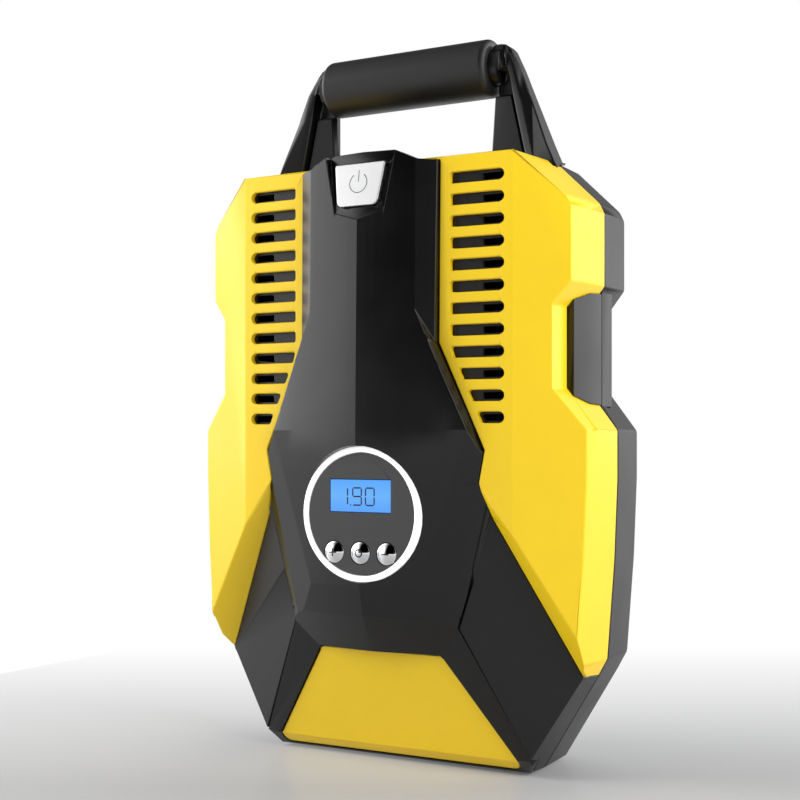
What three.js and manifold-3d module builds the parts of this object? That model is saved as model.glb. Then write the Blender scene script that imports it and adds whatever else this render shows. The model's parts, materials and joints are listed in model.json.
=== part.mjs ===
// Portable digital tyre inflator, rebuilt as an assembly of separate pieces.
// Millimetres, +Z up, the front faces -Y, +X is to the right of a person who looks at the front.
import * as THREE from 'three';
import { mergeVertices } from 'three/addons/utils/BufferGeometryUtils.js';
import Module from 'manifold-3d';

const wasm = await Module();
wasm.setup();

// ---------------------------------------------------------------- driving dimensions
const GAP = 0.3;                 // clearance between neighbouring pieces
const SKIN = 2.4;                // wall of the side panels and of the fascia
const BODY_BOTTOM = 1;           // underside of the case, which stands on its feet
const BODY_TOP = 238.2;
const SEAM = 11;                 // the plane in which front and rear housing meet
const SHEAR = 0.1;               // the front tapers inwards by this much per millimetre of depth
const BACK_FACE = 44.9;
const RIDGE_FACE = -34.67;       // foremost point of the fascia, on its ridge just above the dial
const CENTRE_Y = (BACK_FACE + RIDGE_FACE) / 2;

// Right half of the case at the seam, from the bottom to the top, as [x, z].
const CASE_HALF = [
  [59.1, BODY_BOTTOM], [81.9, 38.9], [85.8, 46], [88.65, 84], [89.9, 115], [89.9, 133.7],
  [78.1, 149.2], [78.1, 180.2], [84.6, 188.7], [84.6, 216.5], [82.4, 221], [64.5, BODY_TOP],
];
const NOTCH_HALF = [[66, 149.2], [78.1, 149.2], [92.1, 130.8], [92.1, 198.6], [78.1, 180.2], [66, 180.2]];

// Front facets of the right half, three points [x, y, z] each.
const INNER_FACET = [[30, -23.6, 0], [61, -22.5, 0], [30, -23.6, 100]];
const OUTER_FACET = [[61, -22.5, 0], [81.9, -15.5, 0], [61, -22.5, 100]];
const LOWER_BEVEL = [[83.5, -14.7, 56.8], [81.6, -2.5, 40], [50.7, -19.1, 101.4]];
const SKIRT_FACET = [[81.6, -2.5, 40], [50.7, -19.1, 101.4], [61.6, -6.2, 6.6]];
const PANEL_FACETS = [INNER_FACET, OUTER_FACET, LOWER_BEVEL];
const BOTTOM_CHAMFER = [[0, -5.35, 6.6], [10, -5.35, 6.6], [0, 1, 0]];
// The black skirt below the side panels.
const SKIRT_HALF = [[47.2, 114.3], [50.7, 101.4], [81.6, 40], [92, 19.3], [92, -5]];

// Fascia: right half of its outline as [x, z].
const FASCIA_HALF = [
  [59.5, BODY_BOTTOM], [61.6, 6.6], [37.1, 57.7], [50.7, 101.4], [47.2, 114.3], [49.4, 126.1],
  [30.3, 167.1], [30.9, 236.8], [24, 237.3], [13.5, 242],
];
// Its ridge as [z, y]: the chin, a slow curve up to the foremost point, then straight to the top.
const CHIN = [[46.5, -21.1], [61.2, -29.2]];
const CHIN_FACE = -31.6;
const RIDGE_TOP = [246, -32.95];
// Face and flank meet at a straight crease, as [x, y, z].
const CREASE_LOW = [24.9, -27.9, 72.8];
const CREASE_HIGH = [44.1, -26.4, 133.8];
const CREASE_STEPS = 6;
const FLANK = [CREASE_HIGH, CREASE_LOW, [37.1, -21.2, 57.7]];
const FLANK_WALL = [[47.2, -23.1, 114.3], [50.7, -19.1, 101.4], [35.8, -22, 61.2]];
const TOP_STRIP = [[24, -29.6, 237], [24, -30.5, 179.7], [30.9, -25, 236.8]];
const TOP_STRIP_END = [[24, -30.5, 179.7], [30.3, -27.5, 167.1], [30.3, -24, 171]];
const BOW_STEP = 4;
const BOW_STEPS = 13;
const bow = (x) => 0.075 * Math.abs(x) + 0.0029 * x * x;
const FRAME_SLOPE = 0.2847;
const frameFace = (z) => -19.9 + FRAME_SLOPE * (57.7 - z);
const FRAME_TOP = 61.2;
const FRAME_THICKNESS = 6;
const FASCIA_BACK = -20.3;
const HOOD_WALL = 1.8;           // closes the back of the hood, which stands above the case

// Inlay in the lower frame.
const INLAY_HALF = [[57.8, 2.2], [27.6, 46.1]];
const INLAY_RADII = [3, 2.6, 2.6, 3];
const INLAY_RECESS = 0.8;        // behind the face of the frame, and less behind its bottom chamfer
const INLAY_CHAMFER_RECESS = 0.3;
const INLAY_THICKNESS = 2;
const INLAY_FOLD = 1.2;          // thickness of the part that folds round the chamfer

// Vent slots in the side panels.
const SLOT_COUNT = 12;
const SLOT_PITCH = 8.29;
const SLOT_HEIGHT = 4.3;
const FIRST_SLOT_Z = 229.65;
const SLOT_INNER_X = 35.3;
const SLOT_OUTER_X = 58;
const SLOT_MARGIN = 3.6;         // from a slot to the wing of the fascia
const VENT_INNER_X = 48;         // the housing behind the slots is open from here outwards
const VENT_SHRINK = 1;

// Dial.
const DIAL_Z = 101.1;
const DIAL_FACE = -31;
const RING_INNER = 24.1;
const RING_OUTER = 26.4;
const DIAL_FLOOR = -28;
const LCD_HALF_WIDTH = 13.5;
const LCD_BOTTOM = 102;
const LCD_TOP = 114.4;
const KEY_X = 11.9;
const KEY_Z = 86;
const KEY_RADIUS = 4.3;
const KEY_TRAVEL = 0.8;

// Power key.
const POWER_HALF = [[8.9, 220.5], [11.45, 237.4]];
const POWER_FACE = [[0, -31.1, 237.4], [10, -31.1, 237.4], [0, -33.4, 222.6]];
const POWER_TRAVEL = 1.5;
const BAY_HALF = [[0, 215], [11.05, 218.3], [15.7, 241], [16.4, 250]];
const BAY_FLOOR = [[0, -33.4, 215], [10, -32.1, 215], [0, -29.99, 237]];

// Handle.
const GRIP_Y = 10.2;
const GRIP_Z = 278.4;
const GRIP_RADIUS = 11.6;
const GRIP_END = 38;
const ARM_FOOT = 238.6;
const ARM_REAR = 18;
const RECESS_TOP = 277;
const ARM_INNER_X = GRIP_END + 0.4;
const ARM_DRAFT = 1.4;           // the inner side of an arm opens towards the back
const GRIP_BORE = 7.3;
const CORE_RADIUS = 7;
const TRIM_BACK = 11.9;
const TRIM_GROOVE = 1.6;         // open groove beside the inner cheek of an arm
const RIM_INSET = 2;

// Pump and motor.
const DRIVE_Y = 12;
const MOTOR_Z = 120;
const MOTOR_RADIUS = 17;
const GEAR_MODULE = 1;
const PINION_TEETH = 12;
const GEAR_TEETH = 48;
const GEAR_Z = MOTOR_Z + (GEAR_MODULE * (PINION_TEETH + GEAR_TEETH)) / 2;
const CRANK_RADIUS = 4;
const ROD_LENGTH = 34;
const ROD_X = 8.5;
const BORE_RADIUS = 9.4;
const SHELF_TOP = 186;
const CYLINDER_TOP = 216;
const BARREL_RADIUS = 12;
const FIN_RADIUS = 15;
const FIN_PITCH = 8;
const PLATE_LEFT = -5.5;         // the bracket plate that carries motor and gear
const PLATE_RIGHT = -3;
const GEAR_LEFT = -1.8;
const GEAR_RIGHT = 3.4;
const BUSHING_RADIUS = 5;
const BUSHING_FLANGE = 7;
const AXLE_RADIUS = 3;
const CRANK_PIN_RADIUS = 2.5;
const WINDOW_COUNT = 5;          // lightening holes in the gear
const WINDOW_PLACE = 15;
const ROD_HALF = 2.6;            // half the thickness of the connecting rod
const WRIST_RADIUS = 2;
const SHAFT_RADIUS = 1.5;
const FAN_BLADES = 7;
const FAN_X = -66;
const BLADE_PLACE = 9.5;

// Storage compartment in the back.
const STORE_HALF_WIDTH = 50;
const STORE_BOTTOM = 17.4;
const STORE_TOP = 98;
const STORE_FRONT = 20;
const STORE_WALL = 2.2;
const HINGE_Y = 42.7;
const HINGE_Z = 20.6;
const HINGE_LENGTH = 49.7;       // half of the door's width
const HINGE_PIN_RADIUS = 1;
const BOARD_CORNERS = [[22, 108], [62, 108], [22, 148], [62, 148]];
const FITTING_RADIUS = 4;
const FITTING_Y = 30;
const FITTING_Z = 84;

const SCREW_PLACES = [[64, 90], [60, 160], [64, 208]];
const FOOT_PLACES = [[45, 7], [45, 28.4]];

// ---------------------------------------------------------------- solids
const AXIS_ORDER = {
  x: (u, v, w) => [w, u, v],
  y: (u, v, w) => [u, w, v],
  z: (u, v, w) => [u, v, w],
};

// A closed three.js geometry as a solid for boolean work.
function solid(geometry) {
  geometry.deleteAttribute('normal');
  geometry.deleteAttribute('uv');
  const welded = mergeVertices(geometry, 1e-3);
  const corners = welded.index.array;
  const triangles = [];
  for (let i = 0; i < corners.length; i += 3) {
    const [a, b, c] = [corners[i], corners[i + 1], corners[i + 2]];
    if (a !== b && b !== c && c !== a) triangles.push(a, b, c);
  }
  return new wasm.Manifold(new wasm.Mesh({
    numProp: 3,
    vertProperties: new Float32Array(welded.attributes.position.array),
    triVerts: new Uint32Array(triangles),
  }));
}

// Outlines with equal numbers of corners, skinned along an axis and closed at both ends.
function loft(axis, sections) {
  const contour = sections[0].outline.map(([u, v]) => new THREE.Vector2(u, v));
  const clockwise = THREE.ShapeUtils.isClockWise(contour);
  const flipped = clockwise !== (axis === 'y');
  const count = contour.length;
  const positions = [];
  for (const { at, outline } of sections) {
    for (const [u, v] of outline) positions.push(...AXIS_ORDER[axis](u, v, at));
  }
  const index = [];
  const addTriangle = (a, b, c) => index.push(...(flipped ? [a, c, b] : [a, b, c]));
  for (let k = 0; k + 1 < sections.length; k += 1) {
    for (let i = 0; i < count; i += 1) {
      const a = k * count + i;
      const b = k * count + ((i + 1) % count);
      addTriangle(a, b, b + count);
      addTriangle(a, b + count, a + count);
    }
  }
  const ordered = clockwise ? [...contour].reverse() : contour;
  const original = (i) => (clockwise ? count - 1 - i : i);
  const last = (sections.length - 1) * count;
  for (const face of THREE.ShapeUtils.triangulateShape(ordered, [])) {
    const [a, b, c] = clockwise ? face.map(original).reverse() : face;
    addTriangle(c, b, a);
    addTriangle(last + a, last + b, last + c);
  }
  const geometry = new THREE.BufferGeometry();
  geometry.setAttribute('position', new THREE.Float32BufferAttribute(positions, 3));
  geometry.setIndex(index);
  return solid(geometry);
}

const prism = (axis, outline, from, to) => loft(axis, [{ at: from, outline }, { at: to, outline }]);

function box(x0, x1, y0, y1, z0, z1) {
  const geometry = new THREE.BoxGeometry(x1 - x0, y1 - y0, z1 - z0);
  geometry.translate((x0 + x1) / 2, (y0 + y1) / 2, (z0 + z1) / 2);
  return solid(geometry);
}

// A round bar along an axis, its centre line at (a, b) in the other two axes.
function bar(axis, radius, from, to, a, b, sides = 16) {
  const geometry = new THREE.CylinderGeometry(radius, radius, to - from, sides);
  if (axis === 'x') geometry.rotateZ(Math.PI / 2);
  if (axis === 'z') geometry.rotateX(Math.PI / 2);
  geometry.translate(...AXIS_ORDER[axis](a, b, (from + to) / 2));
  return solid(geometry);
}

// A turned piece: profile of [radius, distance along the axis].
function turned(axis, profile, a, b, sides = 24) {
  const geometry = new THREE.LatheGeometry(profile.map(([r, h]) => new THREE.Vector2(r, h)), sides);
  if (axis === 'x') geometry.rotateZ(-Math.PI / 2);
  if (axis === 'z') geometry.rotateX(Math.PI / 2);
  geometry.translate(...AXIS_ORDER[axis](a, b, 0));
  const piece = solid(geometry);
  return piece.volume() < 0 ? solid(reversed(geometry)) : piece;
}

function reversed(geometry) {
  const flippedIndex = [...geometry.index.array].reverse();
  geometry.setIndex(flippedIndex);
  return geometry;
}

// Everything in front of the plane through three points, the plane moved back by an inset.
function inFrontOf([a, b, c], inset = 0, side = 1) {
  const [p, q, r] = [a, b, c].map(([x, y, z]) => new THREE.Vector3(side * x, y, z));
  const normal = q.sub(p).cross(r.sub(p)).normalize();
  if (normal.y > 0) normal.negate();
  const size = 600;
  const geometry = new THREE.BoxGeometry(size, size, size);
  geometry.applyQuaternion(new THREE.Quaternion().setFromUnitVectors(new THREE.Vector3(0, 0, 1), normal));
  const centre = p.addScaledVector(normal, size / 2 - inset);
  geometry.translate(centre.x, centre.y, centre.z);
  return solid(geometry);
}

function withoutFront(piece, facets, inset = 0) {
  let rest = piece;
  for (const side of [1, -1]) {
    for (const facet of facets) rest = rest.subtract(inFrontOf(facet, inset, side));
  }
  return rest;
}

const joined = (pieces) => pieces.reduce((whole, piece) => whole.add(piece));
const cutOut = (piece, tools) => tools.reduce((rest, tool) => rest.subtract(tool), piece);

// ---------------------------------------------------------------- outlines
const mirrored = (half) => [...half, ...half.map(([x, z]) => [-x, z]).reverse()];
const leftSide = (outline) => outline.map(([x, z]) => [-x, z]).reverse();
const sheared = (half, y) => half.map(([x, z]) => [x - SHEAR * (SEAM - y), z]);
const rectangle = (x0, x1, z0, z1) => [[x0, z0], [x1, z0], [x1, z1], [x0, z1]];

// A counter-clockwise outline moved inwards (or outwards, for a negative distance).
function inwards(outline, distance) {
  const count = outline.length;
  const inward = (from, to) => new THREE.Vector2(from[1] - to[1], to[0] - from[0]).normalize();
  return outline.map((point, i) => {
    const before = inward(outline[(i + count - 1) % count], point);
    const after = inward(point, outline[(i + 1) % count]);
    const reach = distance / (1 + before.dot(after));
    return [point[0] + (before.x + after.x) * reach, point[1] + (before.y + after.y) * reach];
  });
}

// An outline with its corners rounded; radii holds one radius for each corner.
function rounded(outline, radii, steps = 4) {
  const count = outline.length;
  return outline.flatMap(([x, z], i) => {
    const corner = new THREE.Vector2(x, z);
    const back = new THREE.Vector2(...outline[(i + count - 1) % count]).sub(corner).normalize();
    const ahead = new THREE.Vector2(...outline[(i + 1) % count]).sub(corner).normalize();
    const half = Math.acos(back.dot(ahead)) / 2;
    const reach = radii[i] / Math.tan(half);
    const centre = back.clone().add(ahead).normalize().multiplyScalar(radii[i] / Math.sin(half)).add(corner);
    const start = back.multiplyScalar(reach).add(corner).sub(centre);
    const end = ahead.multiplyScalar(reach).add(corner).sub(centre);
    const sweep = Math.atan2(start.cross(end), start.dot(end));
    return Array.from({ length: steps + 1 }, (_, k) => {
      const turn = start.clone().rotateAround(new THREE.Vector2(), (sweep * k) / steps);
      return [centre.x + turn.x, centre.y + turn.y];
    });
  });
}

// A spur gear outline around the origin; the first tooth, or the first space, points along +v.
function gearOutline(teeth, startsWithTooth) {
  const pitch = (GEAR_MODULE * teeth) / 2;
  const [root, tip] = [pitch - 1.15 * GEAR_MODULE, pitch + 0.9 * GEAR_MODULE];
  const step = (2 * Math.PI) / teeth;
  const [rootHalf, tipHalf] = [(0.9 * GEAR_MODULE) / root, (0.32 * GEAR_MODULE) / tip];
  const offset = startsWithTooth ? 0 : step / 2;
  return Array.from({ length: teeth }, (_, k) => {
    const middle = Math.PI / 2 + offset + k * step;
    const corners = [[root, -rootHalf], [tip, -tipHalf], [tip, tipHalf], [root, rootHalf]];
    return corners.map(([r, turn]) => [r * Math.cos(middle + turn), r * Math.sin(middle + turn)]);
  }).flat();
}

const moved = (outline, u, v) => outline.map(([a, b]) => [a + u, b + v]);

// ---------------------------------------------------------------- materials and scene
const MATERIALS = {
  yellow: { color: 0xf7c914, roughness: 0.38, metalness: 0 },
  black: { color: 0x1b1b1d, roughness: 0.42, metalness: 0 },
  blackGloss: { color: 0x121214, roughness: 0.3, metalness: 0 },
  dialGrey: { color: 0x2b2c30, roughness: 0.45, metalness: 0 },
  white: { color: 0xf4f4f4, roughness: 0.35, metalness: 0 },
  lcdBlue: { color: 0x4e9dfb, roughness: 0.12, metalness: 0 },
  chrome: { color: 0xd5d7da, roughness: 0.12, metalness: 1 },
  silver: { color: 0xd9dbde, roughness: 0.22, metalness: 1 },
  rubber: { color: 0x161616, roughness: 0.85, metalness: 0 },
  steel: { color: 0x9b9ea3, roughness: 0.35, metalness: 1 },
  aluminium: { color: 0xb4b7bb, roughness: 0.45, metalness: 1 },
  brass: { color: 0xb08d45, roughness: 0.35, metalness: 1 },
  nylon: { color: 0xe6e2d6, roughness: 0.6, metalness: 0 },
  board: { color: 0x1f5c35, roughness: 0.55, metalness: 0 },
};

const inflator = new THREE.Group();
inflator.position.y = -CENTRE_Y;

function add(name, piece, look) {
  const { vertProperties, triVerts } = piece.getMesh();
  const geometry = new THREE.BufferGeometry();
  geometry.setAttribute('position', new THREE.Float32BufferAttribute(vertProperties, 3));
  geometry.setIndex([...triVerts]);
  geometry.computeVertexNormals();
  const mesh = new THREE.Mesh(geometry, new THREE.MeshStandardMaterial(MATERIALS[look]));
  mesh.name = name;
  inflator.add(mesh);
}

// ---------------------------------------------------------------- case
const FRONT_LIMIT = -50;

// The case's side walls alone, from the front to the seam, moved in by an inset.
function sleeve(inset, from = FRONT_LIMIT, to = SEAM) {
  const section = (y) => ({ at: y, outline: inwards(mirrored(sheared(CASE_HALF, y)), inset) });
  return loft('y', [section(from), section(to)]);
}

const halfSpace = (side) => (side > 0 ? box(0, 100, -60, 60, -10, 260) : box(-100, 0, -60, 60, -10, 260));

// The case in front of the seam has three faceted zones: side panels, skirt and the core behind the fascia.
function panelZone(inset, to = SEAM) {
  const whole = sleeve(inset, FRONT_LIMIT, to);
  return joined([1, -1].map((side) => cutOut(
    whole.intersect(halfSpace(side)),
    PANEL_FACETS.map((facet) => inFrontOf(facet, inset, side)),
  )));
}
const skirtZone = (inset, margin, to = SEAM) => withoutFront(
  sleeve(inset, FRONT_LIMIT, to), [SKIRT_FACET], inset,
).intersect(skirtPrism(margin));
const coreZone = (inset, margin, to = SEAM) => withoutFront(
  sleeve(inset, FRONT_LIMIT, to), [INNER_FACET], inset,
).intersect(fasciaPrism(margin));

const fasciaOutline = (margin) => inwards(mirrored(FASCIA_HALF), -margin);
const fasciaPrism = (margin) => prism('y', fasciaOutline(margin), FRONT_LIMIT, SEAM);
const skirtOutline = (margin) => inwards(mirrored([...SKIRT_HALF].reverse()), margin);
const skirtPrism = (margin) => prism('y', skirtOutline(margin), FRONT_LIMIT, SEAM);

// Everything behind the fascia's back face, moved further back by a distance.
function behindFascia(distance = 0) {
  const low = -5;
  const high = 260;
  const rear = 60;
  const bend = 57.7 - (FASCIA_BACK - FRAME_THICKNESS + 19.9) / FRAME_SLOPE;
  const outline = [[frameFace(low) + FRAME_THICKNESS, low], [rear, low], [rear, high],
    [FASCIA_BACK, high], [FASCIA_BACK, bend]];
  return prism('x', moved(outline, distance, 0), -100, 100);
}

// A side lug that fills the notch, from one depth to another, with the outer face given as [x, y].
function lug(side, outerFace, margin) {
  const [front, back] = [outerFace[0][1], outerFace.at(-1)[1]];
  const section = (y) => {
    const outline = inwards(sheared(NOTCH_HALF, Math.min(y, SEAM)), margin);
    return { at: y, outline: side > 0 ? outline : leftSide(outline) };
  };
  const block = loft('y', [section(front), section(back)]);
  const plan = [[64, front], ...outerFace, [64, back]];
  return block.intersect(prism('z', side > 0 ? plan : leftSide(plan), 125, 205));
}

const armSocket = (side, margin) => {
  const [inner, outer] = [41 - margin, 59 + margin];
  const [x0, x1] = side > 0 ? [inner, outer] : [-outer, -inner];
  return box(x0, x1, 7.5 - margin, 16.5 + margin, 224 - margin, BODY_TOP + 1);
};

function slotOutline(k, shrink) {
  const z = FIRST_SLOT_Z - k * SLOT_PITCH;
  const wingX = (height) => 30.3 + ((167.1 - height) * (49.4 - 30.3)) / (167.1 - 126.1) + SLOT_MARGIN;
  const [top, bottom] = [z + SLOT_HEIGHT / 2 - shrink, z - SLOT_HEIGHT / 2 + shrink];
  const innerTop = Math.max(SLOT_INNER_X, wingX(top)) + shrink;
  const innerBottom = Math.max(SLOT_INNER_X, wingX(bottom)) + shrink;
  const outline = [[innerBottom, bottom], [SLOT_OUTER_X - shrink, bottom], [SLOT_OUTER_X - shrink, top],
    [innerTop, top]];
  if (shrink > 0) return outline;
  const round = SLOT_HEIGHT / 2 - 0.02;
  return rounded(outline, [0.9, round, round, 0.9], 3);
}

function slots(side, shrink, from, to) {
  return Array.from({ length: SLOT_COUNT }, (_, k) => {
    const outline = slotOutline(k, shrink);
    return prism('y', side > 0 ? outline : leftSide(outline), from, to);
  });
}

const FRONT_LUG_FACE = [[79, -6.2], [82, 2.5], [83.2, SEAM - GAP / 2]];
const REAR_LUG_FACE = [[83.3, SEAM + GAP / 2], [83.5, 20.9]];
const lugSpace = (side) => lug(side, [[95, -6.5], [95, SEAM]], 0);

function addSidePanels() {
  const skin = cutOut(panelZone(0, SEAM - GAP / 2), [
    panelZone(SKIN),
    fasciaPrism(GAP),
    skirtPrism(0),
  ]);
  for (const [name, side] of [['side_panel_left', -1], ['side_panel_right', 1]]) {
    const armNotch = side > 0 ? box(33.5, 66, 3.5, 20, 232, 250) : box(-66, -33.5, 3.5, 20, 232, 250);
    const panel = cutOut(skin, [halfSpace(-side), armNotch, lugSpace(side), ...slots(side, 0, -30, -15)]);
    add(name, panel, 'yellow');
  }
}

const postPlaces = [1, -1].flatMap((side) => SCREW_PLACES.map(([x, z]) => [side * x, z]));

function addFrontShell() {
  const rear = SEAM - GAP / 2;
  const inner = panelZone(SKIN + GAP, rear).add(coreZone(SKIN + GAP, 0, rear));
  const skirt = skirtZone(0, GAP, rear);
  const collars = [1, -1].map((side) => {
    const [x0, x1] = side > 0 ? [33.8, 65.7] : [-65.7, -33.8];
    return panelZone(0, rear).intersect(box(x0, x1, 3.8, 20, 230, 250));
  });
  const lugs = [1, -1].map((side) => lug(side, FRONT_LUG_FACE, GAP));
  const cavity = joined([panelZone(5.2), coreZone(5.2, 0), skirtZone(SKIN + 0.4, 4)])
    .intersect(behindFascia(2.3));
  const postLimit = panelZone(3.6).add(skirtZone(1.5, 1));
  const posts = postPlaces.map(([x, z]) => bar('y', 4.2, -30, rear, x, z, 12).intersect(postLimit));
  const pilots = postPlaces.map(([x, z]) => bar('y', 1.5, -6, SEAM + 1, x, z, 8));
  let shell = cutOut(joined([inner, skirt, ...collars, ...lugs]), [cavity]);
  shell = cutOut(joined([shell, ...posts]), [
    fasciaPrism(GAP).subtract(behindFascia(GAP)),
    inFrontOf(BOTTOM_CHAMFER),
    ...pilots,
    ...[1, -1].map((side) => armSocket(side, GAP)),
    ...[1, -1].flatMap((side) => slots(side, VENT_SHRINK, -30, -12).map(
      (slot) => slot.subtract(box(-VENT_INNER_X, VENT_INNER_X, -40, 0, 0, 250)),
    )),
    box(-9, 9, -24, -15, 94, 108),
    box(-5, 5, -24, -15, 212, 219),
    ...FOOT_PLACES.slice(0, 1).flatMap(([x, y]) => [footPocket(x, y), footPocket(-x, y)]),
  ]);
  add('front_shell', shell, 'black');
}

const FOOT_RADIUS = 4;
const footPocket = (x, y) => bar('z', FOOT_RADIUS + GAP, -1, 2.5, x, y);

function addFeet() {
  let number = 1;
  for (const [x, y] of FOOT_PLACES) {
    for (const side of [-1, 1]) {
      const profile = [[0, 0], [FOOT_RADIUS - 0.6, 0], [FOOT_RADIUS, 0.6], [FOOT_RADIUS, 2.2], [0, 2.2]];
      add(`foot_${number}`, turned('z', profile, side * x, y, 16), 'rubber');
      number += 1;
    }
  }
}

function rearSections(inset, from, to) {
  const draft = 0.6;
  const shoulder = 33;
  const chamfer = 9.5;
  const outline = (extra) => inwards(mirrored(CASE_HALF), extra + inset);
  const share = (to - shoulder) / (BACK_FACE - shoulder);
  return [
    { at: from, outline: outline(0) },
    { at: shoulder, outline: outline(draft) },
    { at: to, outline: outline(draft + share * (chamfer - draft)) },
  ];
}

function addRearShell() {
  const start = SEAM + GAP / 2;
  const outer = loft('y', rearSections(0, start, BACK_FACE));
  const rim = prism('y', inwards(mirrored(CASE_HALF), 5.2), start - 1, start + 5);
  const cavity = loft('y', rearSections(3, start - 1, BACK_FACE - SKIN)).add(rim);
  const lugs = [1, -1].map((side) => lug(side, REAR_LUG_FACE, 0));
  const store = box(
    -STORE_HALF_WIDTH - STORE_WALL, STORE_HALF_WIDTH + STORE_WALL, STORE_FRONT - STORE_WALL, BACK_FACE - 1,
    STORE_BOTTOM - STORE_WALL, STORE_TOP + STORE_WALL,
  );
  const posts = postPlaces.map(([x, z]) => bar('y', 4.4, start, BACK_FACE - 1, x, z, 12));
  const motorRib = box(-50, -47, 16, BACK_FACE - 1, 99, 141)
    .subtract(bar('x', MOTOR_RADIUS + GAP + 0.3, -60, -40, DRIVE_Y, MOTOR_Z, 32));
  const bracketLugs = [[104, 116], [196, 208]].map(([z0, z1]) => box(-8, -0.5, 33.3, BACK_FACE - 1, z0, z1));
  const boardPosts = BOARD_CORNERS.map(([x, z]) => bar('y', 2.5, 38.9, BACK_FACE - 1, x, z, 8));
  let shell = cutOut(joined([outer, ...lugs]), [cavity]);
  shell = joined([shell, store, ...posts, motorRib, ...bracketLugs, ...boardPosts]);
  shell = cutOut(shell, [
    box(-STORE_HALF_WIDTH, STORE_HALF_WIDTH, STORE_FRONT, BACK_FACE + 1, STORE_BOTTOM, STORE_TOP),
    bar('x', 1.3, -STORE_HALF_WIDTH - 1.9, STORE_HALF_WIDTH + 1.9, HINGE_Y, HINGE_Z, 12),
    box(-9, 9, BACK_FACE - 1.6, BACK_FACE + 1, STORE_TOP - 1, STORE_TOP + 4),
    ...postPlaces.map(([x, z]) => bar('y', 1.9, start - 1, BACK_FACE + 1, x, z, 10)),
    ...postPlaces.map(([x, z]) => bar('y', 3.6, BACK_FACE - 3, BACK_FACE + 5, x, z)),
    ...[1, -1].map((side) => armSocket(side, GAP)),
    ...FOOT_PLACES.slice(1).flatMap(([x, y]) => [footPocket(x, y), footPocket(-x, y)]),
    bar('x', FITTING_RADIUS + GAP, -60, -45, FITTING_Y, FITTING_Z, 16),
    bar('x', FITTING_RADIUS + GAP, 45, 60, FITTING_Y, FITTING_Z, 16),
  ]);
  add('rear_shell', shell, 'black');
}

const SCREW_HEAD = 3.2;
function addCaseScrews() {
  postPlaces.forEach(([x, z], i) => {
    const seat = BACK_FACE - 3 + GAP;
    const top = seat + 2.2;
    const profile = [[0, -4], [1.2, -4], [1.2, seat], [SCREW_HEAD, seat], [SCREW_HEAD - 0.6, top], [0, top]];
    add(`case_screw_${i + 1}`, turned('y', profile, x, z, 12), 'steel');
  });
}

// ---------------------------------------------------------------- fascia
// Rows of the face from the chin to the top: height, ridge and share of the bow.
function faceRows() {
  const rows = Array.from({ length: CREASE_STEPS + 1 }, (_, k) => {
    const share = k / CREASE_STEPS;
    const [x, y, z] = CREASE_LOW.map((low, i) => low + share * (CREASE_HIGH[i] - low));
    const ridge = RIDGE_FACE + (CHIN_FACE - RIDGE_FACE) * (1 - share) ** 2;
    return [z, ridge, (y - ridge) / bow(x)];
  });
  return [...CHIN.map((row) => [...row, 1]), ...rows, [...RIDGE_TOP, 1]];
}

// The bowed shield of the fascia, its surface moved back by a depth.
function shield(depth) {
  const half = Array.from({ length: BOW_STEPS }, (_, k) => BOW_STEP * (k + 1));
  const stations = [...half.map((x) => -x).reverse(), 0, ...half];
  const edge = half.at(-1);
  const section = ([z, ridge, share]) => ({
    at: z,
    outline: [...stations.map((x) => [x, ridge + share * bow(x) + depth]), [edge, SEAM], [-edge, SEAM]],
  });
  return loft('z', faceRows().map(section));
}

function fasciaBlank(inset) {
  const outline = prism('y', inwards(mirrored(FASCIA_HALF), inset), FRONT_LIMIT, SEAM);
  const strips = [1, -1].map((side) => inFrontOf(TOP_STRIP, inset, side)
    .intersect(inFrontOf(TOP_STRIP_END, inset, side)));
  const face = cutOut(withoutFront(shield(inset).intersect(outline), [FLANK, FLANK_WALL], inset), strips);
  const floor = BODY_BOTTOM + inset - 1;
  const frame = cutOut(outline.intersect(box(-100, 100, -60, 60, floor, FRAME_TOP + 1)), [
    inFrontOf(FRAME_PLANE, inset),
    inFrontOf(BOTTOM_CHAMFER, inset),
  ]);
  return face.add(frame);
}

const inlayOutline = (margin) => rounded(
  inwards(mirrored(INLAY_HALF), -margin),
  INLAY_RADII.map((radius) => radius + margin),
);
const FRAME_PLANE = [[0, frameFace(0), 0], [10, frameFace(0), 0], [0, frameFace(50), 50]];

// The inlay follows the face of the frame and folds round its bottom chamfer.
function behindInlay(margin, depth, foldDepth) {
  return cutOut(prism('y', inlayOutline(margin), -60, 20), [
    inFrontOf(FRAME_PLANE, INLAY_RECESS + depth),
    inFrontOf(BOTTOM_CHAMFER, INLAY_CHAMFER_RECESS + foldDepth),
  ]);
}

const bayPrism = (margin) => prism(
  'y',
  inwards([...BAY_HALF, ...BAY_HALF.slice(1).map(([x, z]) => [-x, z]).reverse()], -margin),
  FRONT_LIMIT,
  SEAM,
);
const bayCut = (margin) => joined([1, -1].map(
  (side) => bayPrism(margin).intersect(inFrontOf(BAY_FLOOR, margin, side)),
));
const powerOutline = (margin) => rounded(inwards(mirrored(POWER_HALF), -margin), [2.4, 0.8, 0.8, 2.4].map(
  (radius) => radius + Math.max(margin, 0),
));

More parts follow.
